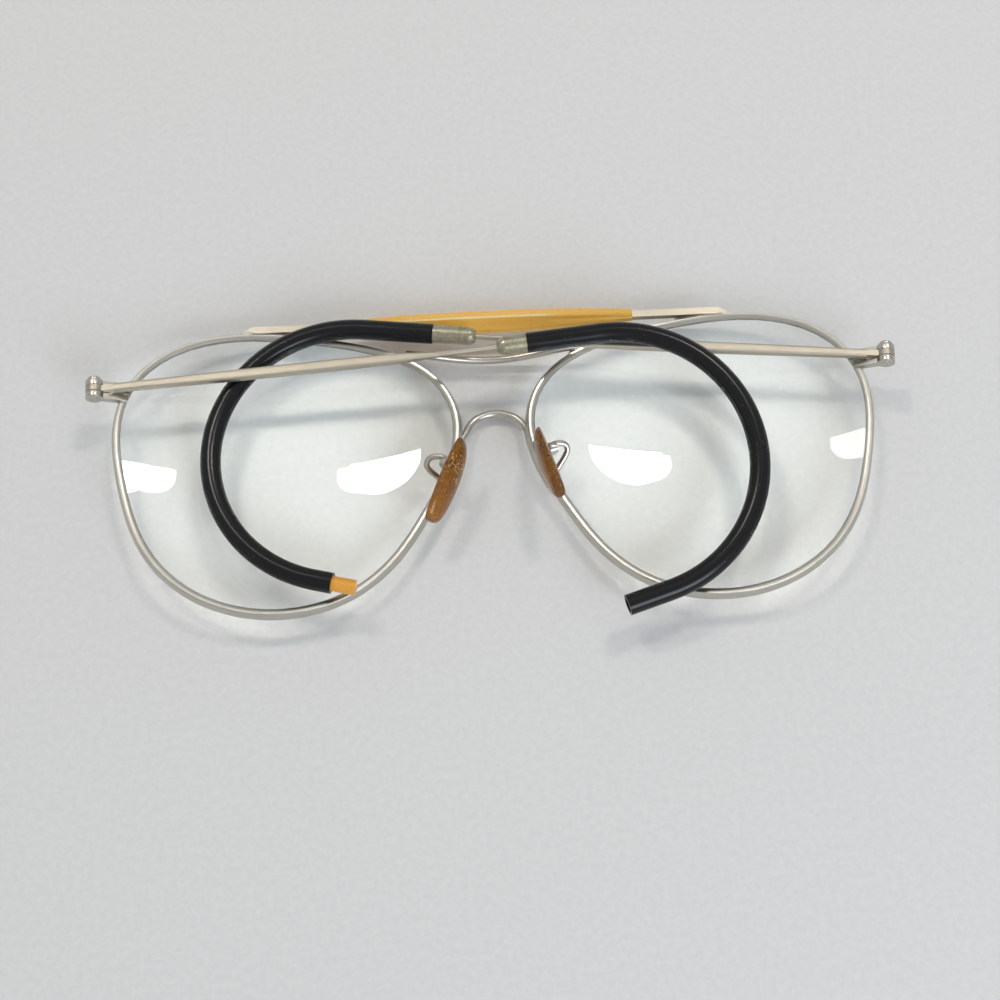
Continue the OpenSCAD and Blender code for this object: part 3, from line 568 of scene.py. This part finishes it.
class EYEGLASSES_OT_lenses(bpy.types.Operator):
    """Grinds the lens faces to true spheres"""

    bl_idname = "eyeglasses.lenses"
    bl_label = "Lenses"

    def execute(self, context):
        glass = clear_glass()
        for side in SIDES:
            piece = copy_of(f"lens_{side}", f"{side}_lens_glass")
            spheres = [self.sphere_of(piece, way) for way in (1, -1)]
            edit_all(piece)
            bpy.ops.mesh.subdivide(number_cuts=4)
            leave_edit()
            for way, sphere in zip((1, -1), spheres):
                self.grind(piece, way, *sphere)
            smooth(piece, 20)
            finish_piece(piece, f"lens_{side}", glass)
        return {"FINISHED"}

    def face_points(self, piece, way):
        """The vertices of the back face, way 1, or of the front face, way -1."""
        faces = [p for p in piece.data.polygons if p.normal.z * way > 0.85]
        return sorted({v for p in faces for v in p.vertices})

    def sphere_of(self, piece, way):
        """Centre and radius of the sphere that a lens face lies on, by least squares."""
        points = np.array([piece.data.vertices[i].co for i in self.face_points(piece, way)], float) / MM
        table = np.c_[2 * points, np.ones(len(points))]
        found = np.linalg.lstsq(table, (points**2).sum(1), rcond=None)[0]
        centre = found[:3]
        radius = math.sqrt(found[3] + centre @ centre)
        return Vector(centre * MM), radius * MM

    def grind(self, piece, way, centre, radius):
        for index in self.face_points(piece, way):
            vertex = piece.data.vertices[index]
            vertex.co = centre + (vertex.co - centre).normalized() * radius
        piece.data.update()


class EYEGLASSES_OT_bridge(bpy.types.Operator):
    """Rounds the bridge wire and the nose arch"""

    bl_idname = "eyeglasses.bridge"
    bl_label = "Bridge and nose arch"

    def execute(self, context):
        settings = context.scene.eyeglasses
        metal = satin_silver(settings, "bridge satin silver", settings.silver, 0.30, 0.24)
        for node, name in (("bridge_wire", "bridge_bow_wire"), ("nose_arch", "nose_arch_wire")):
            piece = copy_of(node, name)
            rounded(piece, 2, 60, settings.wire_swell)
            finish_piece(piece, node, metal)
        return {"FINISHED"}


class EYEGLASSES_OT_brow(bpy.types.Operator):
    """Breaks the edges of the brow bar and of its honey sleeve"""

    bl_idname = "eyeglasses.brow"
    bl_label = "Brow bar and sleeve"

    ridge_y = 27.28 * MM
    ridge_z = 5.15 * MM
    seam_x = 10.2 * MM
    seam_y = 26.60 * MM
    seam_half = 0.08 * MM
    seam_depth = 0.20 * MM
    seam_start = 0.5 * MM
    seam_full = 0.8 * MM
    seam_past = 0.6 * MM
    seam_under = 0.3 * MM
    slant = (0.61, 0.79, 0)

    def execute(self, context):
        settings = context.scene.eyeglasses
        bar = copy_of("brow_bar", "brow_bar_strip")
        edged(bar, settings.metal_edge * 1.6)
        metal = satin_silver(settings, "bar satin silver", settings.warm_silver, 0.40, 0.2)
        finish_piece(bar, "brow_bar", metal)
        sleeve = copy_of("brow_sleeve", "brow_honey_sleeve")
        self.paint_ridge_highlight(sleeve)
        edged(sleeve, settings.sleeve_edge, 24)
        self.cut_seam(sleeve)
        finish_piece(sleeve, "brow_sleeve", honey_plastic(settings))
        return {"FINISHED"}

    def paint_ridge_highlight(self, sleeve):
        """Marks the upward-facing flat of the ridge for a pale painted highlight, from its left end to where
        the seam crosses it.
        """
        edit_all(sleeve)
        bpy.ops.mesh.bisect(
            plane_co=(self.seam_x, self.ridge_y, 0), plane_no=self.slant,
            clear_inner=False, clear_outer=False,
        )
        leave_edit()
        # 1 on the upward-facing flat of the ridge, where the painted highlight goes, else 0
        painted_ridge_highlight = sleeve.data.attributes.new("painted_ridge_highlight", "FLOAT", "CORNER")
        across, along = self.slant[:2]
        for face in sleeve.data.polygons:
            on_top = face.normal.z > 0.985 and face.center.z > self.ridge_z
            past = across * (face.center.x - self.seam_x) + along * (face.center.y - self.ridge_y)
            for corner in face.loop_indices:
                painted_ridge_highlight.data[corner].value = float(on_top and past < 0)

    def cut_seam(self, sleeve):
        """Presses in the thin open seam, along the lower side of the ridge to the right end."""
        mesh = bmesh.new()
        mesh.from_mesh(sleeve.data)
        cuts = [((0, self.seam_y + side * self.seam_half, 0), (0, 1, 0)) for side in (-1, 0, 1)]
        cuts += [((self.seam_x + reach, 0, 0), (1, 0, 0)) for reach in (self.seam_start, self.seam_full)]
        for place, normal in cuts:
            everything = mesh.verts[:] + mesh.edges[:] + mesh.faces[:]
            bmesh.ops.bisect_plane(mesh, geom=everything, dist=1e-8, plane_co=place, plane_no=normal)
        mesh.normal_update()
        for vertex in mesh.verts:
            on_seam = abs(vertex.co.y - self.seam_y) < 1e-7 and vertex.co.x > self.seam_x + self.seam_past
            if on_seam and vertex.normal.z > 0.3 and vertex.co.z > self.ridge_z - self.seam_under:
                vertex.co.z -= self.seam_depth
        mesh.to_mesh(sleeve.data)
        mesh.free()
        smooth(sleeve, 40)
        modify(sleeve, "WEIGHTED_NORMAL", keep_sharp=True, weight=80)


class EYEGLASSES_OT_solder(bpy.types.Operator):
    """Fills the corners where wires, bar, lugs and pad arms are soldered to the rims"""

    bl_idname = "eyeglasses.solder"
    bl_label = "Solder fillets"

    middle = {"bridge_wire": 0.30 * MM, "nose_arch": 0.22 * MM, "brow_bar": 0.24 * MM}
    paired = {"pad_arm": 0.34 * MM, "lug_upper": 0.22 * MM, "lug_lower": 0.22 * MM}
    grain = 0.05 * MM
    smoothing = 8

    def execute(self, context):
        settings = context.scene.eyeglasses
        blobs = []
        for side in SIDES:
            reaches = {**self.middle, **{f"{name}_{side}": reach for name, reach in self.paired.items()}}
            for node, reach in reaches.items():
                blobs.append(self.fillet(f"rim_{side}", node, reach))
        bpy.ops.object.select_all(action="DESELECT")
        for blob in blobs:
            blob.select_set(True)
        bpy.context.view_layer.objects.active = blobs[0]
        bpy.ops.object.join()
        solder = bpy.context.active_object
        solder.name = "solder_fillets"
        smooth(solder, 60)
        solder.data.materials.append(satin_silver(settings, "solder silver", settings.silver, 0.42, 0.34))
        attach(solder, BODY_OF["rim_left"])
        return {"FINISHED"}

    def fillet(self, first, second, reach):
        """The space within reach of both pieces, which shows only in the corner between them."""
        grown = []
        for node in (first, second):
            piece = copy_of(node, f"{node}_grown")
            modify(piece, "DISPLACE", strength=reach, mid_level=0)
            grown.append(piece)
        bpy.context.view_layer.update()
        modify(grown[0], "BOOLEAN", operation="INTERSECT", solver="EXACT", object=grown[1])
        bpy.data.objects.remove(grown[1])
        modify(grown[0], "REMESH", mode="VOXEL", voxel_size=self.grain)
        modify(grown[0], "SMOOTH", factor=0.5, iterations=self.smoothing)
        return grown[0]


class EYEGLASSES_OT_hinges(bpy.types.Operator):
    """Breaks the edges of the hinge lugs and their screws"""

    bl_idname = "eyeglasses.hinges"
    bl_label = "Hinge lugs and screws"

    def execute(self, context):
        settings = context.scene.eyeglasses
        metal = satin_silver(settings, "lug satin silver", settings.silver, 0.30, 0.28)
        steel = satin_silver(settings, "screw steel", settings.silver, 0.28, 0.30)
        for side in SIDES:
            for level in ("upper", "lower"):
                piece = copy_of(f"lug_{level}_{side}", f"{side}_{level}_lug")
                edged(piece, settings.metal_edge)
                finish_piece(piece, f"lug_{level}_{side}", metal)
            piece = copy_of(f"hinge_screw_{side}", f"{side}_slotted_screw")
            edged(piece, settings.metal_edge * 0.8)
            finish_piece(piece, f"hinge_screw_{side}", steel)
        return {"FINISHED"}


class EYEGLASSES_OT_pads(bpy.types.Operator):
    """Rounds the pad arms and the amber pads, and breaks the edges of the studs"""

    bl_idname = "eyeglasses.pads"
    bl_label = "Nose pads and arms"

    def execute(self, context):
        settings = context.scene.eyeglasses
        metal = satin_silver(settings, "pad arm silver", settings.silver, 0.30, 0.36)
        plastic = amber_plastic(settings)
        for side in SIDES:
            arm = copy_of(f"pad_arm_{side}", f"{side}_pad_gooseneck")
            rounded(arm, 2, 50, settings.wire_swell * 3)
            finish_piece(arm, f"pad_arm_{side}", metal)
            stud = copy_of(f"pad_stud_{side}", f"{side}_pad_rivet")
            edged(stud, settings.metal_edge * 0.7)
            finish_piece(stud, f"pad_stud_{side}", metal)
            pad = copy_of(f"nose_pad_{side}", f"{side}_amber_pad")
            rounded(pad, 2, 50)
            finish_piece(pad, f"nose_pad_{side}", plastic)
        return {"FINISHED"}


class EYEGLASSES_OT_temples(bpy.types.Operator):
    """Smooths the spindle shape of the temple arms"""

    bl_idname = "eyeglasses.temples"
    bl_label = "Temple arms"

    def execute(self, context):
        settings = context.scene.eyeglasses
        metal = satin_silver(settings, "temple satin silver", settings.warm_silver, 0.46, 0.22)
        for side in SIDES:
            piece = copy_of(f"temple_arm_{side}", f"{side}_temple_spindle")
            rounded(piece, 2, 55)
            finish_piece(piece, f"temple_arm_{side}", metal)
        return {"FINISHED"}


class EYEGLASSES_OT_ferrules(bpy.types.Operator):
    """Smooths the domed ferrules"""

    bl_idname = "eyeglasses.ferrules"
    bl_label = "Ferrules"

    def execute(self, context):
        settings = context.scene.eyeglasses
        metal = corroded_cap(settings)
        for side in SIDES:
            piece = copy_of(f"ferrule_{side}", f"{side}_domed_ferrule")
            edged(piece, settings.metal_edge, 38)
            finish_piece(piece, f"ferrule_{side}", metal)
        return {"FINISHED"}


class EYEGLASSES_OT_curls(bpy.types.Operator):
    """Smooths the black tubes and their amber cores"""

    bl_idname = "eyeglasses.curls"
    bl_label = "Ear curls"

    def execute(self, context):
        settings = context.scene.eyeglasses
        black = black_tube(settings)
        amber = core_plastic(settings)
        for side in SIDES:
            tube = copy_of(f"ear_tube_{side}", f"{side}_ear_tube_sheath")
            rounded(tube, 1, 50, settings.wire_swell * 0.5)
            finish_piece(tube, f"ear_tube_{side}", black)
            core = copy_of(f"cable_core_{side}", f"{side}_amber_core")
            edged(core, settings.metal_edge * 1.5, 60)
            finish_piece(core, f"cable_core_{side}", amber)
        return {"FINISHED"}


class EYEGLASSES_OT_stage(bpy.types.Operator):
    """Lays the pale floor and sets the camera, the lamps and the world"""

    bl_idname = "eyeglasses.stage"
    bl_label = "Floor, lamps and camera"

    floor_size = 6.0
    lamp_places = {"left": (-0.255, 0.330, 0.70), "right": (0.235, 0.330, 0.70)}
    lamp_radius = 0.070
    lamp_cut = 0.25
    lamp_strength = 33.0
    fill_place = (0.38, -0.58, 0.48)
    fill_size = 0.42
    fill_power = 3.2
    sky_strength = 0.50
    camera_place = (-3.191 * MM, -92.744 * MM, 247.453 * MM)
    camera_back = (-0.01400, -0.33365, 0.94259)
    camera_right = (0.99885, -0.04799, -0.00215)
    camera_lens = 54.02
    camera_sensor = 36.0

    def execute(self, context):
        settings = context.scene.eyeglasses
        self.floor(settings)
        for side, place in self.lamp_places.items():
            self.key_lamp(side, Vector(place))
        self.soft_box("fill softbox")
        self.world(context)
        self.camera(context)
        context.scene.view_settings.view_transform = "Standard"
        return {"FINISHED"}

    def floor(self, settings):
        bpy.ops.object.select_all(action="DESELECT")
        bpy.ops.mesh.primitive_plane_add(size=self.floor_size, location=(0, 0, 0))
        floor = bpy.context.active_object
        floor.name = "pale_floor"
        material, tree, shader, place = new_material("floor matt paper")
        grain = noise_node(tree, place, 900.0, 5, 0.6)
        fibres = ramp_node(tree, grain, 0.35, 0.65)
        base = mix_node(tree, fibres, colour(settings.floor, 0.97), colour(settings.floor, 1.03))
        tree.links.new(base, shader.inputs["Base Color"])
        shader.inputs["Roughness"].default_value = 0.9
        shader.inputs["Specular IOR Level"].default_value = 0.1
        floor.data.materials.append(material)

    def key_lamp(self, side, centre):
        """A half round lamp above the brow, as wide as the one that a lens mirrors."""
        bpy.ops.object.select_all(action="DESELECT")
        bpy.ops.mesh.primitive_circle_add(
            vertices=64, radius=self.lamp_radius, fill_type="NGON", location=centre,
        )
        lamp = bpy.context.active_object
        lamp.name = f"{side}_half_round_lamp"
        edit_all(lamp)
        chord = centre - Vector((0, self.lamp_radius * self.lamp_cut, 0))
        bpy.ops.mesh.bisect(plane_co=chord, plane_no=(0, -1, 0), use_fill=False, clear_outer=True)
        leave_edit()
        material, tree, shader, place = new_material("lamp glow")
        tree.nodes.remove(shader)
        glow = tree.nodes.new("ShaderNodeEmission")
        glow.inputs["Color"].default_value = LAMP_GLOW
        glow.inputs["Strength"].default_value = self.lamp_strength
        tree.links.new(glow.outputs["Emission"], tree.nodes["Material Output"].inputs["Surface"])
        lamp.data.materials.append(material)

    def soft_box(self, name):
        """A cool square lamp on the chin side, turned to the middle of the pair."""
        data = bpy.data.lights.new(name, "AREA")
        data.shape = "SQUARE"
        data.size = self.fill_size
        data.energy = self.fill_power
        data.color = FILL_GLOW
        lamp = bpy.data.objects.new(name, data)
        lamp.location = self.fill_place
        lamp.rotation_euler = (-Vector(self.fill_place)).to_track_quat("-Z", "Y").to_euler()
        bpy.context.scene.collection.objects.link(lamp)

    def world(self, context):
        """Pale surroundings, plain white behind the floor."""
        world = context.scene.world or bpy.data.worlds.new("World")
        context.scene.world = world
        world.use_nodes = True
        tree = world.node_tree
        tree.nodes.clear()
        rays = tree.nodes.new("ShaderNodeLightPath")
        light = tree.nodes.new("ShaderNodeBackground")
        light.inputs["Color"].default_value = SKY_LIGHT
        light.inputs["Strength"].default_value = self.sky_strength
        seen = tree.nodes.new("ShaderNodeBackground")
        seen.inputs["Color"].default_value = SKY_SEEN
        seen.inputs["Strength"].default_value = self.sky_strength
        mixer = tree.nodes.new("ShaderNodeMixShader")
        out = tree.nodes.new("ShaderNodeOutputWorld")
        shown = math_node(tree, "MAXIMUM", rays.outputs["Is Camera Ray"], rays.outputs["Is Glossy Ray"])
        shown = math_node(tree, "MAXIMUM", shown, rays.outputs["Is Transmission Ray"])
        tree.links.new(shown, mixer.inputs[0])
        tree.links.new(light.outputs["Background"], mixer.inputs[1])
        tree.links.new(seen.outputs["Background"], mixer.inputs[2])
        tree.links.new(mixer.outputs["Shader"], out.inputs["Surface"])

    def camera(self, context):
        """Looks down at the back of the folded pair from the chin side, about 20 degrees off the vertical."""
        back = Vector(self.camera_back)
        right = Vector(self.camera_right)
        data = bpy.data.cameras.new("photo camera")
        data.lens = self.camera_lens
        data.sensor_width = self.camera_sensor
        data.clip_start = 0.01
        data.clip_end = 20.0
        camera = bpy.data.objects.new("photo_camera", data)
        up = back.cross(right).normalized()
        turn = Matrix((right, up, back)).transposed().to_4x4()
        camera.matrix_world = Matrix.Translation(self.camera_place) @ turn
        context.scene.collection.objects.link(camera)
        context.scene.camera = camera


OPERATORS = (
    EYEGLASSES_OT_stage,
    EYEGLASSES_OT_solder,
    EYEGLASSES_OT_rims,
    EYEGLASSES_OT_lenses,
    EYEGLASSES_OT_bridge,
    EYEGLASSES_OT_brow,
    EYEGLASSES_OT_hinges,
    EYEGLASSES_OT_pads,
    EYEGLASSES_OT_temples,
    EYEGLASSES_OT_ferrules,
    EYEGLASSES_OT_curls,
)


class EYEGLASSES_PT_panel(bpy.types.Panel):
    """Lists the steps and the sizes and colours of the eyeglasses"""

    bl_idname = "EYEGLASSES_PT_panel"
    bl_label = "Eyeglasses"
    bl_space_type = "VIEW_3D"
    bl_region_type = "UI"
    bl_category = "Eyeglasses"

    def draw(self, context):
        settings = context.scene.eyeglasses
        for name in FinishSettings.__annotations__:
            self.layout.prop(settings, name)
        for operator in OPERATORS:
            self.layout.operator(operator.bl_idname)


CLASSES = (FinishSettings, *OPERATORS, EYEGLASSES_PT_panel)


def register():
    for cls in CLASSES:
        bpy.utils.register_class(cls)
    bpy.types.Scene.eyeglasses = PointerProperty(type=FinishSettings)


def unregister():
    del bpy.types.Scene.eyeglasses
    for cls in reversed(CLASSES):
        bpy.utils.unregister_class(cls)


def main():
    register()
    for operator in OPERATORS:
        group, name = operator.bl_idname.split(".")
        getattr(getattr(bpy.ops, group), name)()


if __name__ == "__main__":
    main()
